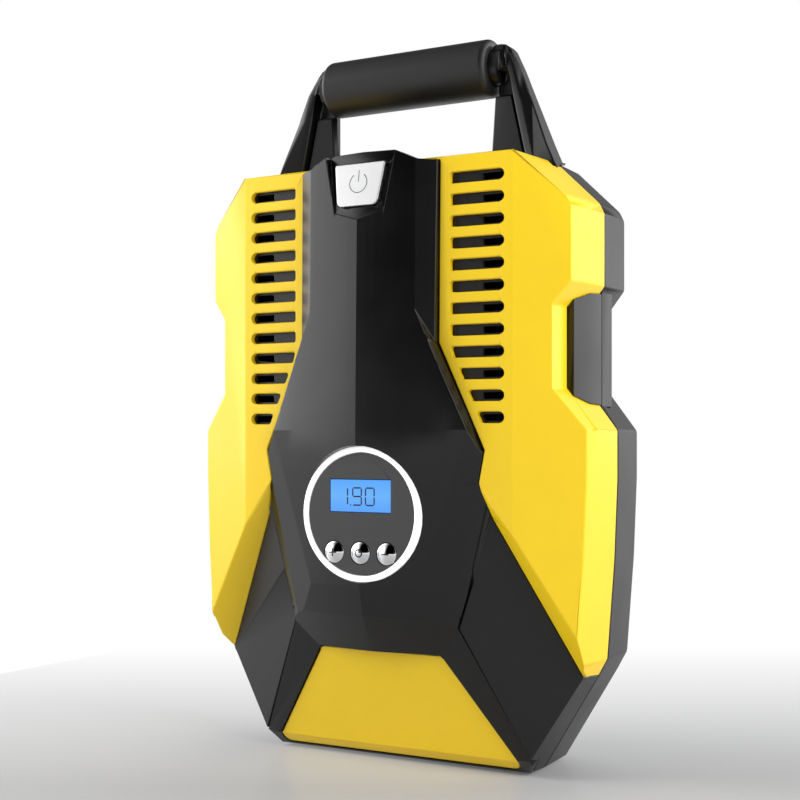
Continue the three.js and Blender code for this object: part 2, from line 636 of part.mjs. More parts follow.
function addFascia() {
  const hoodBack = box(-100, 100, FASCIA_BACK - HOOD_WALL, 60, BODY_TOP - SKIN, 260);
  const hollow = cutOut(fasciaBlank(SKIN).intersect(box(-100, 100, -60, 60, 64, 260)), [
    hoodBack,
    bar('y', RING_OUTER + GAP + SKIN, -60, DIAL_FLOOR + SKIN, 0, DIAL_Z, 24),
    bayCut(2.2),
  ]);
  const hood = box(-100, 100, -60, FASCIA_BACK, BODY_TOP - 1, BODY_TOP + 10);
  const pocket = prism('y', inlayOutline(GAP), -60, 20)
    .subtract(behindInlay(GAP, INLAY_THICKNESS + GAP, INLAY_FOLD + GAP));
  const fascia = cutOut(fasciaBlank(0).intersect(sleeve(0).add(hood)), [
    hollow,
    behindFascia(),
    bar('y', RING_OUTER + GAP, -60, DIAL_FLOOR, 0, DIAL_Z, 48),
    bar('y', 22.6, -60, -15, 0, DIAL_Z, 32),
    bayCut(0),
    prism('y', powerOutline(GAP), -60, -15),
    pocket,
  ]);
  add('centre_cover', fascia, 'black');

  const inlay = behindInlay(0, 0, 0).subtract(behindInlay(0, INLAY_THICKNESS, INLAY_FOLD));
  add('lower_inlay', inlay, 'yellow');
}

function addPowerKey() {
  const body = prism('y', powerOutline(0), -40, -25.4).subtract(inFrontOf(POWER_FACE));
  const flange = prism('y', powerOutline(1.1), -25.4, -24.2);
  add('power_button', joined([body, flange]), 'silver');
  const plunger = bar('y', 1.5, -22.6, -20.6, 0, 229, 12);
  add('power_switch', joined([box(-6, 6, -22, -20.6, 224, 234), plunger]), 'blackGloss');
}

// ---------------------------------------------------------------- dial
function addDial() {
  const ringProfile = [[RING_INNER, -28.3], [RING_OUTER, -28.3], [RING_OUTER, -31.2], [RING_INNER, -31.2],
    [RING_INNER, -28.3]];
  add('led_ring', turned('y', ringProfile, 0, DIAL_Z, 48), 'white');

  const keyPlaces = [-KEY_X, 0, KEY_X];
  const plate = cutOut(bar('y', RING_INNER - GAP, DIAL_FACE, -28.4, 0, DIAL_Z, 48), [
    bar('y', 22.4, -29.2, -20, 0, DIAL_Z, 32),
    box(-LCD_HALF_WIDTH - GAP, LCD_HALF_WIDTH + GAP, -40, -20, LCD_BOTTOM - GAP, LCD_TOP + GAP),
    ...keyPlaces.map((x) => bar('y', KEY_RADIUS + GAP, -40, -29.8, x, KEY_Z, 20)),
    ...keyPlaces.map((x) => bar('y', 1.9, -40, -20, x, KEY_Z, 10)),
  ]);
  add('dial_plate', plate, 'dialGrey');
  add('lcd_panel', box(-LCD_HALF_WIDTH, LCD_HALF_WIDTH, -31.05, -29.2, LCD_BOTTOM, LCD_TOP), 'lcdBlue');
  add('display_module', box(-14.6, 14.6, -28.9, -25.9, 101.2, 115.2), 'dialGrey');

  const domeProfile = [[0, -28], [1.6, -28], [2.4, -28.5], [1.6, -29], [1.6, -30.7], [KEY_RADIUS, -30.7],
    [KEY_RADIUS, -31.2], [3.4, -32], [1.8, -32.35], [0, -32.45]];
  const keyNames = ['key_plus', 'key_unit', 'key_minus'];
  keyNames.forEach((name, i) => {
    add(name, turned('y', domeProfile, keyPlaces[i], KEY_Z, 16), 'chrome');
  });

  const cup = cutOut(bar('y', 22.2, -27.3, -21.5, 0, DIAL_Z, 32), [
    bar('y', 21, -30, -23, 0, DIAL_Z, 32),
    bar('y', 4, -30, -15, 0, DIAL_Z, 20),
  ]);
  add('display_cup', cup, 'black');
  const switches = keyPlaces.map((x) => bar('y', 1.4, -27.1, -25, x, KEY_Z, 8));
  add('display_board', joined([bar('y', 20.6, -25.6, -23.4, 0, DIAL_Z, 32), ...switches]), 'board');
}

// ---------------------------------------------------------------- handle
// Horizontal sections of the right arm: height, groove edge, front edge, outer edge, rear outer edge.
// The lowest one lies inside the case, which the foot of the arm is cut to fit.
const ARM_SECTIONS = [
  [229, [55, 6.8], [59, 6.3], [70.4, 4.6], [69.1, ARM_REAR]],
  [ARM_FOOT, [53.4, 6.6], [57.4, 6.1], [65.8, 5], [64.5, ARM_REAR]],
  [245, [52, 6.5], [56, 6], [63, 5], [61.7, ARM_REAR]],
  [266, [47.4, 6.3], [51.2, 6], [54.6, 7.6], [53, ARM_REAR]],
  [RECESS_TOP, [45, 6], [48.5, 6], [50.2, 9.3], [48.5, ARM_REAR]],
  [284.8, [43.4, 7.6], [44.8, 8.2], [45.7, 9.7], [45.2, 17.5]],
  [287.2, [41.9, 8.6], [42.6, 8.9], [43.3, 10.2], [43.2, 16]],
];

function armLoft(side, sections, innerFront) {
  return loft('z', sections.map(([z, groove, front, outer, rear]) => {
    const inner = innerFront ?? groove[1] - 0.4;
    const outline = [[ARM_INNER_X, inner], [groove[0], inner], groove, front, outer, rear,
      [ARM_INNER_X + ARM_DRAFT, rear[1]]];
    return { at: z, outline: side > 0 ? outline : leftSide(outline) };
  }));
}

function addHandle() {
  const rear = loft('y', rearSections(-GAP, SEAM, BACK_FACE));
  const arms = [1, -1].flatMap((side) => [
    cutOut(armLoft(side, ARM_SECTIONS.slice(0, 5), TRIM_BACK + GAP), [sleeve(-GAP), rear]),
    armLoft(side, ARM_SECTIONS.slice(4)),
    armSocket(side, 0),
  ]);
  const core = bar('x', CORE_RADIUS, -ARM_INNER_X - 3, ARM_INNER_X + 3, GRIP_Y, GRIP_Z, 32);
  add('handle_frame', joined([...arms, core]), 'black');

  for (const [name, side] of [['handle_trim_left', -1], ['handle_trim_right', 1]]) {
    const section = (z, inner, outer) => {
      const outline = [[inner, TRIM_BACK], [inner + TRIM_GROOVE, 9.3], [outer, 8.9], [outer, TRIM_BACK]];
      return { at: z, outline: side > 0 ? outline : leftSide(outline) };
    };
    const trim = loft('z', [
      section(ARM_FOOT + 1, 35.4, 53.2 - TRIM_GROOVE),
      section(267, 37.3, 47.2 - TRIM_GROOVE),
    ]);
    add(name, trim, 'black');
  }

  const half = [
    [GRIP_BORE, GRIP_END],
    [GRIP_RADIUS - RIM_INSET, GRIP_END],
    [GRIP_RADIUS - 0.6, GRIP_END - 0.6],
    [GRIP_RADIUS, GRIP_END - RIM_INSET],
  ];
  const profile = [...half, ...half.map(([r, x]) => [r, -x]).reverse(), half[0]];
  add('handle_grip', turned('x', profile, GRIP_Y, GRIP_Z, 32), 'rubber');
}

// ---------------------------------------------------------------- motor and pump
function addMotor() {
  const can = joined([
    bar('x', MOTOR_RADIUS, -58, PLATE_LEFT - GAP, DRIVE_Y, MOTOR_Z, 28),
    bar('x', BUSHING_RADIUS, -61, -57, DRIVE_Y, MOTOR_Z),
    bar('x', BUSHING_RADIUS, PLATE_LEFT - 1, PLATE_RIGHT, DRIVE_Y, MOTOR_Z),
  ]).subtract(bar('x', SHAFT_RADIUS + 0.4, -70, 0, DRIVE_Y, MOTOR_Z, 12));
  add('motor', can, 'steel');

  const pinion = prism('x', moved(gearOutline(PINION_TEETH, true), DRIVE_Y, MOTOR_Z), GEAR_LEFT, GEAR_RIGHT);
  const shaft = bar('x', SHAFT_RADIUS, -70, GEAR_RIGHT, DRIVE_Y, MOTOR_Z, 12);
  add('motor_rotor', joined([pinion, shaft]), 'steel');

  const blades = Array.from({ length: FAN_BLADES }, (_, k) => {
    const blade = new THREE.BoxGeometry(5.5, 1.4, 11.5);
    blade.rotateZ(0.5);
    blade.translate(FAN_X, 0, BLADE_PLACE);
    blade.rotateX((k * 2 * Math.PI) / FAN_BLADES);
    blade.translate(0, DRIVE_Y, MOTOR_Z);
    return solid(blade);
  });
  const hub = bar('x', 5, -69.3, -62.5, DRIVE_Y, MOTOR_Z);
  const shaftHole = bar('x', SHAFT_RADIUS + 0.15, -75, -60, DRIVE_Y, MOTOR_Z, 12);
  const fan = joined([hub, ...blades]).subtract(shaftHole);
  add('cooling_fan', fan, 'nylon');
}

function addPump() {
  const plateOutline = [[-8, 101], [33, 101], [33, 212], [28.5, 212], [28.5, SHELF_TOP], [-8, SHELF_TOP]];
  const shelf = box(PLATE_RIGHT - 1, 25, -4, 28, SHELF_TOP - 3, SHELF_TOP);
  const bracket = cutOut(joined([prism('x', plateOutline, PLATE_LEFT, PLATE_RIGHT), shelf]), [
    bar('x', BUSHING_RADIUS + GAP, -10, 0, DRIVE_Y, MOTOR_Z),
    bar('x', BUSHING_RADIUS + GAP, -10, 0, DRIVE_Y, GEAR_Z),
    bar('z', BORE_RADIUS + 0.6, SHELF_TOP - 5, SHELF_TOP + 2, ROD_X, DRIVE_Y, 28),
  ]);
  add('pump_bracket', bracket, 'aluminium');

  const bushing = joined([
    bar('x', BUSHING_RADIUS, PLATE_LEFT - 1, PLATE_RIGHT, DRIVE_Y, GEAR_Z),
    bar('x', BUSHING_FLANGE, PLATE_LEFT - 2.5, PLATE_LEFT - GAP, DRIVE_Y, GEAR_Z),
  ]);
  add('gear_bushing', bushing.subtract(bar('x', AXLE_RADIUS + 0.2, -12, 0, DRIVE_Y, GEAR_Z)), 'brass');

  const gear = joined([
    prism('x', moved(gearOutline(GEAR_TEETH, false), DRIVE_Y, GEAR_Z), GEAR_LEFT, GEAR_RIGHT),
    bar('x', AXLE_RADIUS, PLATE_LEFT - 4, GEAR_LEFT + 1, DRIVE_Y, GEAR_Z),
  ]);
  const pinZ = GEAR_Z + CRANK_RADIUS;
  const windows = Array.from({ length: WINDOW_COUNT }, (_, k) => {
    const turn = (k * 2 * Math.PI) / WINDOW_COUNT;
    const y = DRIVE_Y + WINDOW_PLACE * Math.sin(turn);
    return bar('x', 4.2, -10, 10, y, GEAR_Z + WINDOW_PLACE * Math.cos(turn), 8);
  });
  const pinSocket = bar('x', CRANK_PIN_RADIUS + 0.15, GEAR_LEFT + 2, GEAR_RIGHT + 1, DRIVE_Y, pinZ);
  add('crank_gear', cutOut(gear, [...windows, pinSocket]), 'nylon');
  add('crank_pin', bar('x', CRANK_PIN_RADIUS, GEAR_LEFT + 2.3, ROD_X + 4, DRIVE_Y, pinZ), 'steel');

  const [rodLeft, rodRight] = [ROD_X - ROD_HALF, ROD_X + ROD_HALF];
  const topZ = pinZ + ROD_LENGTH;
  const rod = joined([
    bar('x', 5.5, rodLeft, rodRight, DRIVE_Y, pinZ),
    bar('x', 4, rodLeft, rodRight, DRIVE_Y, topZ),
    box(rodLeft, rodRight, DRIVE_Y - 2.3, DRIVE_Y + 2.3, pinZ + 4, topZ),
  ]).subtract(bar('x', CRANK_PIN_RADIUS + GAP, rodLeft - 1, rodRight + 1, DRIVE_Y, pinZ))
    .subtract(bar('x', WRIST_RADIUS, rodLeft - 1, rodRight + 1, DRIVE_Y, topZ, 10));
  add('connecting_rod', rod, 'aluminium');

  const crown = bar('z', BORE_RADIUS - 0.35, 205, 211, ROD_X, DRIVE_Y, 28);
  const tang = (x0, x1) => cutOut(
    box(x0, x1, DRIVE_Y - 4, DRIVE_Y + 4, 185.6, 206),
    [bar('x', WRIST_RADIUS, x0 - 1, x1 + 1, DRIVE_Y, topZ, 10)],
  );
  add('piston', joined([crown, tang(ROD_X - 5.2, ROD_X - 3.1), tang(ROD_X + 3.1, ROD_X + 5.2)]), 'aluminium');

  const barrelProfile = [
    [BORE_RADIUS, SHELF_TOP + GAP],
    [FIN_RADIUS, SHELF_TOP + GAP],
    [FIN_RADIUS, SHELF_TOP + 3],
  ];
  for (let z = SHELF_TOP + 3; z < CYLINDER_TOP - 9; z += FIN_PITCH) {
    const finFoot = z + FIN_PITCH - 2;
    barrelProfile.push([BARREL_RADIUS, z], [BARREL_RADIUS, finFoot]);
    barrelProfile.push([FIN_RADIUS, finFoot], [FIN_RADIUS, z + FIN_PITCH]);
  }
  barrelProfile.push([BARREL_RADIUS, CYLINDER_TOP - 2], [BARREL_RADIUS, CYLINDER_TOP]);
  barrelProfile.push([BORE_RADIUS, CYLINDER_TOP], barrelProfile[0]);
  add('cylinder', turned('z', barrelProfile, ROD_X, DRIVE_Y, 28), 'aluminium');

  const head = joined([
    bar('z', FIN_RADIUS, CYLINDER_TOP + GAP, 221, ROD_X, DRIVE_Y, 28),
    bar('z', 7, 220, 225, ROD_X, DRIVE_Y, 24),
    bar('x', 2.2, ROD_X, ROD_X + 20, DRIVE_Y, 222.8, 16),
  ]);
  add('cylinder_head', head, 'aluminium');
}

// ---------------------------------------------------------------- electronics and storage
function addElectronics() {
  const holes = BOARD_CORNERS.map(([x, z]) => bar('y', 1.4, 30, 45, x, z, 8));
  const board = cutOut(box(18, 66, 37, 38.6, 104, 152), holes);
  add('control_board', board, 'board');
  const sensor = joined([box(34, 48, 30.5, 36.7, 122, 136), bar('z', 1.8, 135, 142, 41, 33.5, 16)]);
  add('pressure_sensor', sensor, 'blackGloss');
}

function addStorage() {
  const plate = box(-HINGE_LENGTH, HINGE_LENGTH, 42.6, BACK_FACE, HINGE_Z, STORE_TOP - GAP);
  const barrel = bar('x', 2.2, -HINGE_LENGTH, HINGE_LENGTH, HINGE_Y, HINGE_Z, 16);
  const catchTab = box(-6, 6, 40.2, 43, 92, 94);
  const pinHole = bar('x', HINGE_PIN_RADIUS + GAP, -60, 60, HINGE_Y, HINGE_Z, 12);
  const door = joined([plate, barrel, catchTab]).subtract(pinHole);
  add('storage_door', door, 'black');
  add('door_hinge_pin', bar('x', HINGE_PIN_RADIUS, -51.6, 51.6, HINGE_Y, HINGE_Z, 12), 'steel');

  const fitting = (side) => {
    const profile = [[0, 46], [2.2, 46], [2.6, 48], [FITTING_RADIUS, 48], [FITTING_RADIUS, 49.7],
      [FITTING_RADIUS, 52.5], [0, 52.5]];
    return turned('x', profile.map(([r, x]) => [r, side * x]), FITTING_Y, FITTING_Z, 16);
  };
  add('hose_fitting', fitting(-1), 'brass');
  add('cord_gland', fitting(1), 'rubber');
}

addSidePanels();
addFrontShell();
addRearShell();
addFascia();
addPowerKey();
addDial();
addHandle();
addMotor();
addPump();
addElectronics();
addStorage();
addCaseScrews();
addFeet();

export default inflator;
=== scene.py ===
"""Looks of the portable tyre inflator: camera, studio, materials and the fine pieces around the CAD frame."""
import json
import math

import bmesh
import bpy
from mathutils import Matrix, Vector


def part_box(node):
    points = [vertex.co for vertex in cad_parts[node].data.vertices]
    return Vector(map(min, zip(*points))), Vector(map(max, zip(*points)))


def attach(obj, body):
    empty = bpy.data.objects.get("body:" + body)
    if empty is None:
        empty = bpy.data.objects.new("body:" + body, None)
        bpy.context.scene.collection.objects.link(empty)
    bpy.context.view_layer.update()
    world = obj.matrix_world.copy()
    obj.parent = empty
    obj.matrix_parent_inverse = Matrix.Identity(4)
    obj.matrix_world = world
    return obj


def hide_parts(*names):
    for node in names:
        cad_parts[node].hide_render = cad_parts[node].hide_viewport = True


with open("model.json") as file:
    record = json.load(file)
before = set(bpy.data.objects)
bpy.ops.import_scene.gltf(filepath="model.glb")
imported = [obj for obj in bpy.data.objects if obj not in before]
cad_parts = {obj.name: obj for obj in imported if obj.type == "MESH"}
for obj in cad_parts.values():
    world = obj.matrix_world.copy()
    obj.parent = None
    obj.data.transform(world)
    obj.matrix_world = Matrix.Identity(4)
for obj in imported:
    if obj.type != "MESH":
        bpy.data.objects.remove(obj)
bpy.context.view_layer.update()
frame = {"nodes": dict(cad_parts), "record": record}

MM = 0.001
scene = bpy.context.scene

# ---------------------------------------------------------------- camera and studio
CAMERA_TURN = math.radians(30)      # to the right of the front
CAMERA_DISTANCE = 0.5845            # from the upright line through the design's origin
CAMERA_HEIGHT = 0.131
CAMERA_LENS = 64.65                 # mm
CAMERA_SENSOR = 36                  # mm
CAMERA_CLIP = 0.01
CAMERA_SHIFT = 0.0465               # the horizon lies a little below the middle of the view
FRAME_SHIFT_Y = -0.005115           # from the design's own depth to the row frame's
# Soft boxes: name, azimuth, distance, height, size and power.
SOFT_BOXES = (
    ("soft_box_left", -62, 1.3, 0.55, (0.9, 1.3), 19),
    ("soft_box_right", 80, 1.3, 0.45, (0.9, 1.3), 21),
    ("soft_box_top", 170, 0.9, 1.5, (1.6, 1.2), 7),
)
LIGHT_AIM = 0.12                    # height that the soft boxes point at


def add_camera():
    data = bpy.data.cameras.new("camera")
    data.sensor_width = CAMERA_SENSOR
    data.lens = CAMERA_LENS
    data.shift_y = CAMERA_SHIFT
    data.clip_start = CAMERA_CLIP
    camera = bpy.data.objects.new("camera", data)
    scene.collection.objects.link(camera)
    camera.location = (
        CAMERA_DISTANCE * math.sin(CAMERA_TURN),
        FRAME_SHIFT_Y - CAMERA_DISTANCE * math.cos(CAMERA_TURN),
        CAMERA_HEIGHT,
    )
    camera.rotation_euler = (math.radians(90), 0, CAMERA_TURN)
    scene.camera = camera


def add_area_light(name, azimuth, distance, height, size, power):
    """A soft box at an azimuth measured from the front, positive towards +X.

    It lights matt surfaces only, because polished ones mirror the soft boxes of the world.
    """
    data = bpy.data.lights.new(name, "AREA")
    data.shape = "RECTANGLE"
    data.size, data.size_y = size
    data.energy = power
    light = bpy.data.objects.new(name, data)
    scene.collection.objects.link(light)
    turn = math.radians(azimuth)
    light.location = (distance * math.sin(turn), -distance * math.cos(turn), height)
    direction = Vector((0, 0, LIGHT_AIM)) - light.location
    light.rotation_euler = direction.to_track_quat("-Z", "Y").to_euler()
    light.visible_glossy = False


# What polished faces mirror, by azimuth in degrees from the front: soft boxes left, right and behind.
MIRRORED = (
    (-180, 0.1), (-116, 0.14), (-92, 0.9), (-78, 1.0), (-60, 0.8), (-42, 0.62), (-30, 0.08), (-18, 0.0),
    (34, 0.0), (54, 0.12), (76, 0.62), (92, 0.85), (142, 0.85), (166, 0.3), (180, 0.1),
)
MIRRORED_STRENGTH = 3.5
CEILING = (0.35, 0.85)              # heights of a direction between which the soft boxes fade
CEILING_LEVEL = 0.12                # what is left of them above that
AROUND_STRENGTH = 0.42              # even light for matt surfaces


def background(nodes, colour, strength):
    shader = nodes.new("ShaderNodeBackground")
    shader.inputs["Color"].default_value = (*colour, 1)
    shader.inputs["Strength"].default_value = strength
    return shader


def map_range(nodes, low, high, to_low=0.0, to_high=1.0, smooth=False):
    node = nodes.new("ShaderNodeMapRange")
    if smooth:
        node.interpolation_type = "SMOOTHSTEP"
    for name, value in (("From Min", low), ("From Max", high), ("To Min", to_low), ("To Max", to_high)):
        node.inputs[name].default_value = value
    return node


def maths(nodes, operation, value=None):
    node = nodes.new("ShaderNodeMath")
    node.operation = operation
    if value is not None:
        node.inputs[1].default_value = value
    return node


def mirrored_studio(nodes, links):
    """Soft boxes as glossy surfaces see them, fading towards the ceiling."""
    place = nodes.new("ShaderNodeTexCoord")
    split = nodes.new("ShaderNodeSeparateXYZ")
    links.new(place.outputs["Generated"], split.inputs["Vector"])
    front = maths(nodes, "MULTIPLY", -1.0)
    links.new(split.outputs["Y"], front.inputs[0])
    azimuth = maths(nodes, "ARCTAN2")
    links.new(split.outputs["X"], azimuth.inputs[0])
    links.new(front.outputs[0], azimuth.inputs[1])
    turn = map_range(nodes, -math.pi, math.pi)
    links.new(azimuth.outputs[0], turn.inputs["Value"])
    ramp = nodes.new("ShaderNodeValToRGB")
    stops = ramp.color_ramp.elements
    while len(stops) < len(MIRRORED):
        stops.new(0.5)
    for stop, (degrees, level) in zip(stops, MIRRORED):
        stop.position = (degrees + 180) / 360
        stop.color = (level, level, level, 1)
    links.new(turn.outputs["Result"], ramp.inputs["Fac"])
    rise = map_range(nodes, *CEILING, MIRRORED_STRENGTH, MIRRORED_STRENGTH * CEILING_LEVEL, smooth=True)
    links.new(split.outputs["Z"], rise.inputs["Value"])
    shader = background(nodes, (1, 1, 1), 1.0)
    links.new(ramp.outputs["Color"], shader.inputs["Color"])
    links.new(rise.outputs["Result"], shader.inputs["Strength"])
    return shader


def add_studio():
    for soft_box in SOFT_BOXES:
        add_area_light(*soft_box)
    world = bpy.data.worlds.new("studio")
    scene.world = world
    world.cycles.sampling_method = "NONE"
    world.use_nodes = True
    nodes, links = world.node_tree.nodes, world.node_tree.links
    nodes.clear()
    output = nodes.new("ShaderNodeOutputWorld")
    path = nodes.new("ShaderNodeLightPath")
    by_gloss = nodes.new("ShaderNodeMixShader")
    by_camera = nodes.new("ShaderNodeMixShader")
    links.new(path.outputs["Is Glossy Ray"], by_gloss.inputs[0])
    links.new(background(nodes, (0.96, 0.98, 1.0), AROUND_STRENGTH).outputs[0], by_gloss.inputs[1])
    links.new(mirrored_studio(nodes, links).outputs[0], by_gloss.inputs[2])
    links.new(path.outputs["Is Camera Ray"], by_camera.inputs[0])
    links.new(by_gloss.outputs[0], by_camera.inputs[1])
    links.new(background(nodes, (1, 1, 1), 1.0).outputs[0], by_camera.inputs[2])
    links.new(by_camera.outputs[0], output.inputs["Surface"])


FLOOR_HALF = 6.0
FLOOR_DROP = 0.0002                 # below the feet, so that the two never share a plane
FLOOR_COLOUR = (0.53, 0.53, 0.535)
FLOOR_LEFT_EDGE = -0.295            # where the table top ends
FLOOR_EDGE_BLUR = 0.003
FLOOR_FADE = (-0.05, 0.3)           # towards the white backdrop, along a line turned from the front
FLOOR_FADE_TURN = math.radians(30)
FLOOR_REACH = (0.45, 1.3)           # where it runs into the backdrop on every side
FLOOR_POLISH = 0.09                 # share of a weak mirror image
FLOOR_POLISH_ROUGHNESS = 0.16


def greater(nodes, links, first, second):
    node = maths(nodes, "MAXIMUM")
    links.new(first, node.inputs[0])
    links.new(second, node.inputs[1])
    return node.outputs[0]


def measured(nodes, links, operation, source, limits, smooth):
    """A length or a dot product of the place on the floor, as 0 to 1 between two limits."""
    measure = nodes.new("ShaderNodeVectorMath")
    measure.operation = operation
    measure.inputs[1].default_value = (-math.sin(FLOOR_FADE_TURN), math.cos(FLOOR_FADE_TURN), 0)
    links.new(source, measure.inputs[0])
    share = map_range(nodes, *limits, smooth=smooth)
    links.new(measure.outputs["Value"], share.inputs["Value"])
    return share.outputs["Result"]


def floor_whiteness(nodes, links):
    """0 on the table top, 1 where the floor is the white backdrop."""
    place = nodes.new("ShaderNodeTexCoord").outputs["Object"]
    split = nodes.new("ShaderNodeSeparateXYZ")
    links.new(place, split.inputs["Vector"])
    edge = map_range(nodes, FLOOR_LEFT_EDGE, FLOOR_LEFT_EDGE - FLOOR_EDGE_BLUR)
    links.new(split.outputs["X"], edge.inputs["Value"])
    fade = measured(nodes, links, "DOT_PRODUCT", place, FLOOR_FADE, smooth=False)
    reach = measured(nodes, links, "LENGTH", place, FLOOR_REACH, smooth=True)
    return greater(nodes, links, greater(nodes, links, edge.outputs["Result"], reach), fade)


def blended(nodes, links, share, first, second):
    """Mixes two shaders; the share is a number or a socket."""
    mix = nodes.new("ShaderNodeMixShader")
    if isinstance(share, float):
        mix.inputs[0].default_value = share
    else:
        links.new(share, mix.inputs[0])
    links.new(first, mix.inputs[1])
    links.new(second, mix.inputs[2])
    return mix.outputs[0]


def floor_material():
    material = principled("floor_pale", FLOOR_COLOUR, 0.5)
    shader_of(material).inputs["Specular IOR Level"].default_value = 0.0
    add_roughness_noise(material, 3.0, 0.45, 0.55)
    nodes, links = material.node_tree.nodes, material.node_tree.links
    polish = nodes.new("ShaderNodeBsdfGlossy")
    polish.inputs["Roughness"].default_value = FLOOR_POLISH_ROUGHNESS
    white = nodes.new("ShaderNodeEmission")
    table = blended(nodes, links, FLOOR_POLISH, shader_of(material).outputs[0], polish.outputs[0])
    surface = blended(nodes, links, floor_whiteness(nodes, links), table, white.outputs[0])
    output = next(node for node in nodes if node.type == "OUTPUT_MATERIAL")
    links.new(surface, output.inputs["Surface"])
    return material


def add_floor():
    """A pale table top that ends on the left and runs into the white backdrop behind."""
    mesh = bpy.data.meshes.new("floor")
    half = FLOOR_HALF
    corners = [(-half, -half, 0), (half, -half, 0), (half, half, 0), (-half, half, 0)]
    mesh.from_pydata(corners, [], [(0, 1, 2, 3)])
    floor = bpy.data.objects.new("floor", mesh)
    floor.location.z = -FLOOR_DROP
    scene.collection.objects.link(floor)
    floor.data.materials.append(floor_material())


# ---------------------------------------------------------------- materials
GRAIN_DETAIL = 2.0
ROUGHNESS_SPREAD = 0.035            # of moulded plastic, either way


def principled(name, colour, roughness, metallic=0.0):
    material = bpy.data.materials.new(name)
    material.use_nodes = True
    shader = shader_of(material)
    shader.inputs["Base Color"].default_value = (*colour, 1)
    shader.inputs["Roughness"].default_value = roughness
    shader.inputs["Metallic"].default_value = metallic
    return material


def shader_of(material):
    return next(node for node in material.node_tree.nodes if node.type == "BSDF_PRINCIPLED")


def noise_of(material, scale, detail, stretch=None):
    nodes, links = material.node_tree.nodes, material.node_tree.links
    place = nodes.new("ShaderNodeTexCoord")
    noise = nodes.new("ShaderNodeTexNoise")
    noise.inputs["Scale"].default_value = scale
    noise.inputs["Detail"].default_value = detail
    source = place.outputs["Object"]
    if stretch:
        mapping = nodes.new("ShaderNodeMapping")
        mapping.inputs["Scale"].default_value = stretch
        links.new(source, mapping.inputs["Vector"])
        source = mapping.outputs["Vector"]
    links.new(source, noise.inputs["Vector"])
    return noise


def add_roughness_noise(material, scale, low, high, stretch=None):
    nodes, links = material.node_tree.nodes, material.node_tree.links
    noise = noise_of(material, scale, 4.0, stretch)
    spread = map_range(nodes, 0.3, 0.7, low, high)
    links.new(noise.outputs["Fac"], spread.inputs["Value"])
    links.new(spread.outputs["Result"], shader_of(material).inputs["Roughness"])


def add_colour_noise(material, scale, first, second):
    nodes, links = material.node_tree.nodes, material.node_tree.links
    noise = noise_of(material, scale, 3.0)
    ramp = nodes.new("ShaderNodeValToRGB")
    ramp.color_ramp.elements[0].position = 0.35
    ramp.color_ramp.elements[0].color = (*first, 1)
    ramp.color_ramp.elements[1].position = 0.65
    ramp.color_ramp.elements[1].color = (*second, 1)
    links.new(noise.outputs["Fac"], ramp.inputs["Fac"])
    links.new(ramp.outputs["Color"], shader_of(material).inputs["Base Color"])


def add_grain(material, scale, strength, distance=0.00004, stretch=None):
    nodes, links = material.node_tree.nodes, material.node_tree.links
    noise = noise_of(material, scale, GRAIN_DETAIL, stretch)
    bump = nodes.new("ShaderNodeBump")
    bump.inputs["Strength"].default_value = strength
    bump.inputs["Distance"].default_value = distance
    links.new(noise.outputs["Fac"], bump.inputs["Height"])
    links.new(bump.outputs["Normal"], shader_of(material).inputs["Normal"])


def moulded_plastic(name, colour, roughness, grain, shade=0.04):
    """Injection-moulded plastic: fine spark-eroded grain and a slightly uneven sheen."""
    material = principled(name, colour, roughness)
    darker = tuple(c * (1 - shade) for c in colour)
    add_colour_noise(material, 26, darker, colour)
    add_roughness_noise(material, 45, roughness - ROUGHNESS_SPREAD, roughness + ROUGHNESS_SPREAD)
    add_grain(material, 2600, grain)
    return material


def metal(name, colour, roughness, brushed=None):
    material = principled(name, colour, roughness, 1.0)
    add_roughness_noise(material, 160, roughness * 0.8, roughness * 1.25, stretch=brushed)
    if brushed:
        add_grain(material, 900, 0.18, 0.00002, stretch=brushed)
    return material


